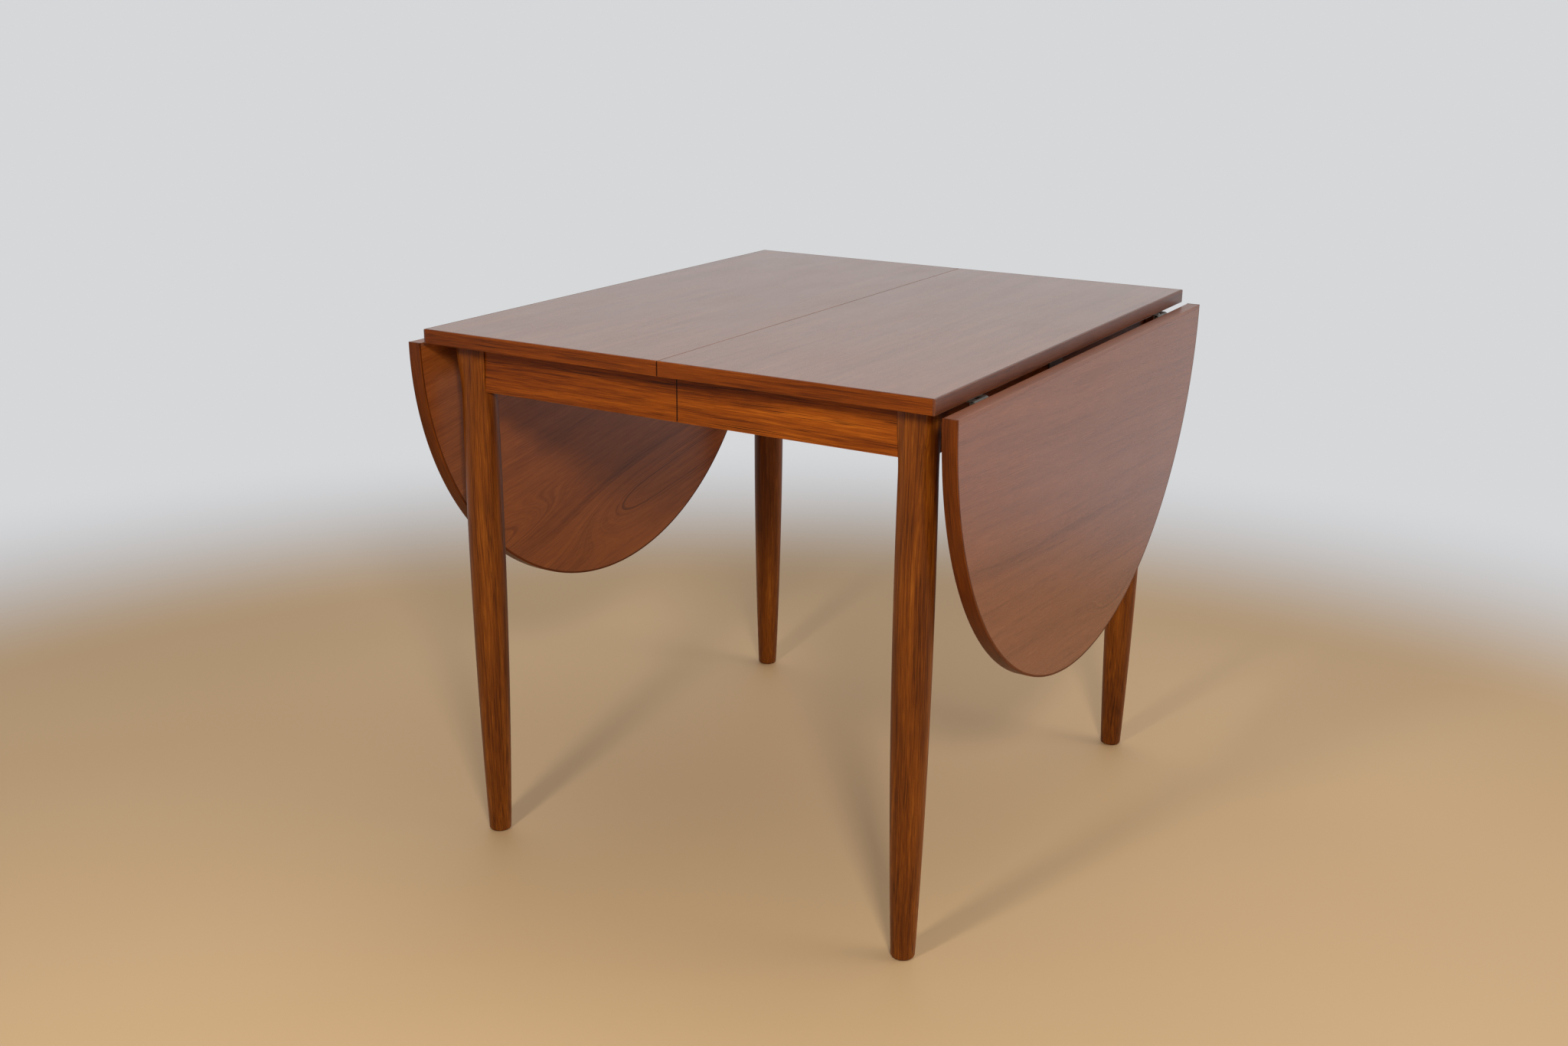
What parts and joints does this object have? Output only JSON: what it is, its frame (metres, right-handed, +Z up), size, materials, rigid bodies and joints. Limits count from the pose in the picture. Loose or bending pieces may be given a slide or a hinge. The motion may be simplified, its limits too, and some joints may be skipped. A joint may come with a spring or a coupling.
{
  "type": "extending drop-leaf dining table",
  "caption": "Wooden dining table with a split sliding top, half-round drop leaves on hinges and long tapered legs.",
  "frame": {"origin": "on the floor, under the middle of the closed table with its leaves down", "axes": "+X towards the half that slides out, +Y from the front to the back, +Z up"},
  "size_m": [0.79, 0.848, 0.73],
  "materials": {
    "veneer": "satin lacquer",
    "solid_teak": "satin lacquer",
    "plain_wood": "bare, planed",
    "zinc": "zinc plated"
  },
  "bodies": {
    "left_half": {"top_left": "veneer", "rail_end_left": "solid_teak", "stay_bracket_left": "zinc", "stay_pin_left": "zinc", "leg_front_left": "solid_teak", "leg_back_left": "solid_teak", "rail_front_left": "solid_teak", "rail_back_left": "solid_teak", "corner_block_front_left": "plain_wood", "corner_block_back_left": "plain_wood", "leg_bolt_front_left": "zinc", "leg_bolt_back_left": "zinc", "wing_nut_front_left": "zinc", "wing_nut_back_left": "zinc", "runner_front_left": "plain_wood", "runner_back_left": "plain_wood", "hinge_plate_front_left": "zinc", "hinge_plate_back_left": "zinc", "hinge_pin_front_left": "zinc", "hinge_pin_back_left": "zinc", "dowel_front": "plain_wood", "dowel_middle": "plain_wood", "dowel_back": "plain_wood"},
    "right_half": {"top_right": "veneer", "rail_end_right": "solid_teak", "stay_bracket_right": "zinc", "stay_pin_right": "zinc", "leg_front_right": "solid_teak", "leg_back_right": "solid_teak", "rail_front_right": "solid_teak", "rail_back_right": "solid_teak", "corner_block_front_right": "plain_wood", "corner_block_back_right": "plain_wood", "leg_bolt_front_right": "zinc", "leg_bolt_back_right": "zinc", "wing_nut_front_right": "zinc", "wing_nut_back_right": "zinc", "runner_front_right": "plain_wood", "runner_back_right": "plain_wood", "hinge_plate_front_right": "zinc", "hinge_plate_back_right": "zinc", "hinge_pin_front_right": "zinc", "hinge_pin_back_right": "zinc"},
    "middle_runners": {"runner_front_middle": "plain_wood", "runner_back_middle": "plain_wood"},
    "leaf_left": {"leaf_left": "veneer", "stay_keeper_left": "solid_teak", "hinge_flap_front_left": "zinc", "hinge_flap_back_left": "zinc"},
    "leaf_right": {"leaf_right": "veneer", "stay_keeper_right": "solid_teak", "hinge_flap_front_right": "zinc", "hinge_flap_back_right": "zinc"},
    "stay_left": {"stay_arm_left": "solid_teak"},
    "stay_right": {"stay_arm_right": "solid_teak"}
  },
  "joints": [
    {"name": "extension", "type": "slide", "parent": "left_half", "child": "right_half", "axis": [1, 0, 0], "range_m": [0, 0.5]},
    {"name": "middle_slide", "type": "slide", "parent": "left_half", "child": "middle_runners", "axis": [1, 0, 0], "range_m": [0, 0.25]},
    {"name": "leaf_left_hinge", "type": "hinge", "parent": "left_half", "child": "leaf_left", "pos_m": [-0.3715, 0, 0.7065], "axis": [0, 1, 0], "range_deg": [0, 90]},
    {"name": "leaf_right_hinge", "type": "hinge", "parent": "right_half", "child": "leaf_right", "pos_m": [0.3715, 0, 0.7065], "axis": [0, -1, 0], "range_deg": [0, 90]},
    {"name": "stay_left_pivot", "type": "hinge", "parent": "left_half", "child": "stay_left", "pos_m": [-0.3555, 0, 0.6705], "axis": [0, 1, 0], "range_deg": [0, 107.3]},
    {"name": "stay_right_pivot", "type": "hinge", "parent": "right_half", "child": "stay_right", "pos_m": [0.3555, 0, 0.6705], "axis": [0, -1, 0], "range_deg": [0, 107.3]}
  ],
  "couplings": [
    {"joint": "middle_slide", "follows": "extension", "ratio": 0.5},
    {"joint": "stay_left_pivot", "follows": "leaf_left_hinge", "ratio": 1.1921},
    {"joint": "stay_right_pivot", "follows": "leaf_right_hinge", "ratio": 1.1921}
  ]
}
